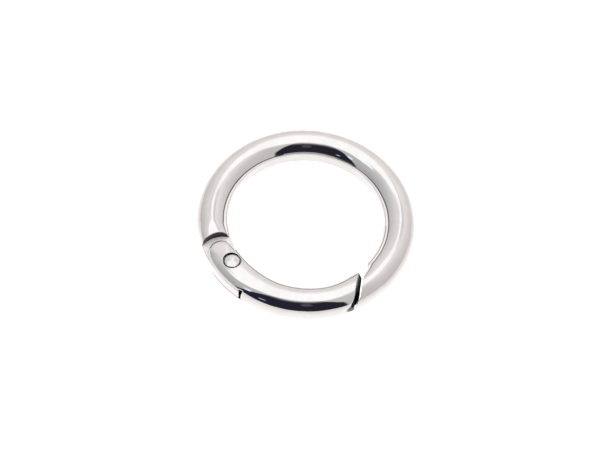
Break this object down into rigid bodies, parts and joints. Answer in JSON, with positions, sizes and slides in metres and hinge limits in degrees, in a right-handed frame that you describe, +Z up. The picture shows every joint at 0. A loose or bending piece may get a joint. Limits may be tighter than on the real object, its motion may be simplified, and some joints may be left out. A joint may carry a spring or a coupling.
{
  "type": "round carabiner",
  "caption": "Flat-lying round ring of polished round bar with a sprung gate on a hinge pin, for joining loops, straps, cords or keys.",
  "frame": {"origin": "centre of the ring, on the flat surface that it lies on", "axes": "+Z up along the ring's axis; -Y towards the middle of the gate, which opens towards +Y; the hinge is at -X -Y"},
  "size_m": [0.035, 0.035, 0.005],
  "materials": {
    "polished_plating": "bright polished plating over die-cast zinc alloy",
    "pin_steel": "plated steel, pressed end slightly duller than the ring",
    "spring_steel": "drawn steel spring wire"
  },
  "bodies": {
    "ring": {"ring_body": "polished_plating"},
    "gate": {"gate": "polished_plating", "hinge_pin": "pin_steel", "gate_spring": "spring_steel"}
  },
  "joints": [
    {"name": "gate_hinge", "type": "hinge", "parent": "ring", "child": "gate", "pos_m": [-0.01106, -0.00961, 0.0025], "axis": [0, 0, 1], "range_deg": [0, 60], "stiffness_Nm_per_rad": 0.02, "springref_deg": -57.3, "deforming": ["gate_spring"]}
  ]
}
